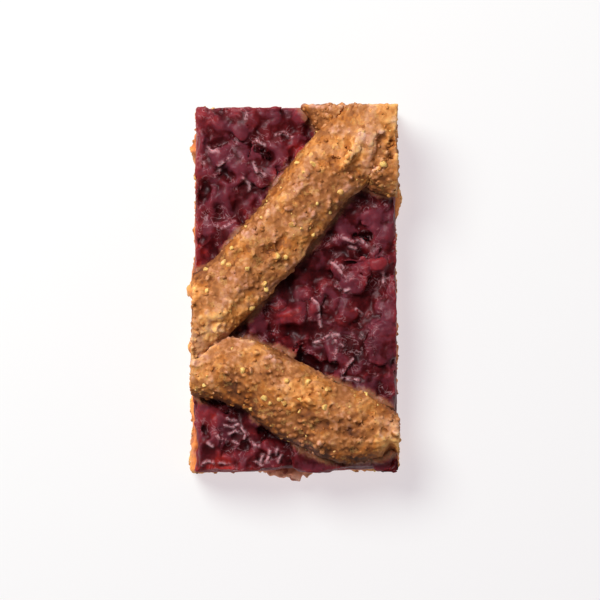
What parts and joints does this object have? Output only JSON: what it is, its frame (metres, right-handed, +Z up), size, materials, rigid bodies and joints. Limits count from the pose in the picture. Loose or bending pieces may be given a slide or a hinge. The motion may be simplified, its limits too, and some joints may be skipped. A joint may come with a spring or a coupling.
{
  "type": "linzer slice",
  "caption": "Rectangular bar of nut dough under a layer of chunky dark red cherry jam, with rough rolls of the same dough lying crosswise on the jam; all sides cut straight.",
  "frame": {"origin": "middle of the bar's box, on the plane it rests on", "axes": "+Y along the bar, towards the end with the two crossing rolls; +X across it; +Z up through base, jam and rolls"},
  "size_m": [0.0524, 0.0896, 0.0236],
  "materials": {
    "base_dough": "matt golden-brown baked nut dough, crumbly at the cut sides",
    "jam": "glossy dark wine-red jam with soft pieces of fruit, redder where it is thin",
    "roll_dough": "matt brown baked nut dough with pale yellow bits of chopped nut"
  },
  "bodies": {
    "root": {"dough_base": "base_dough", "cherry_jam": "jam", "long_roll": "roll_dough", "short_roll": "roll_dough", "corner_roll": "roll_dough"}
  },
  "joints": []
}
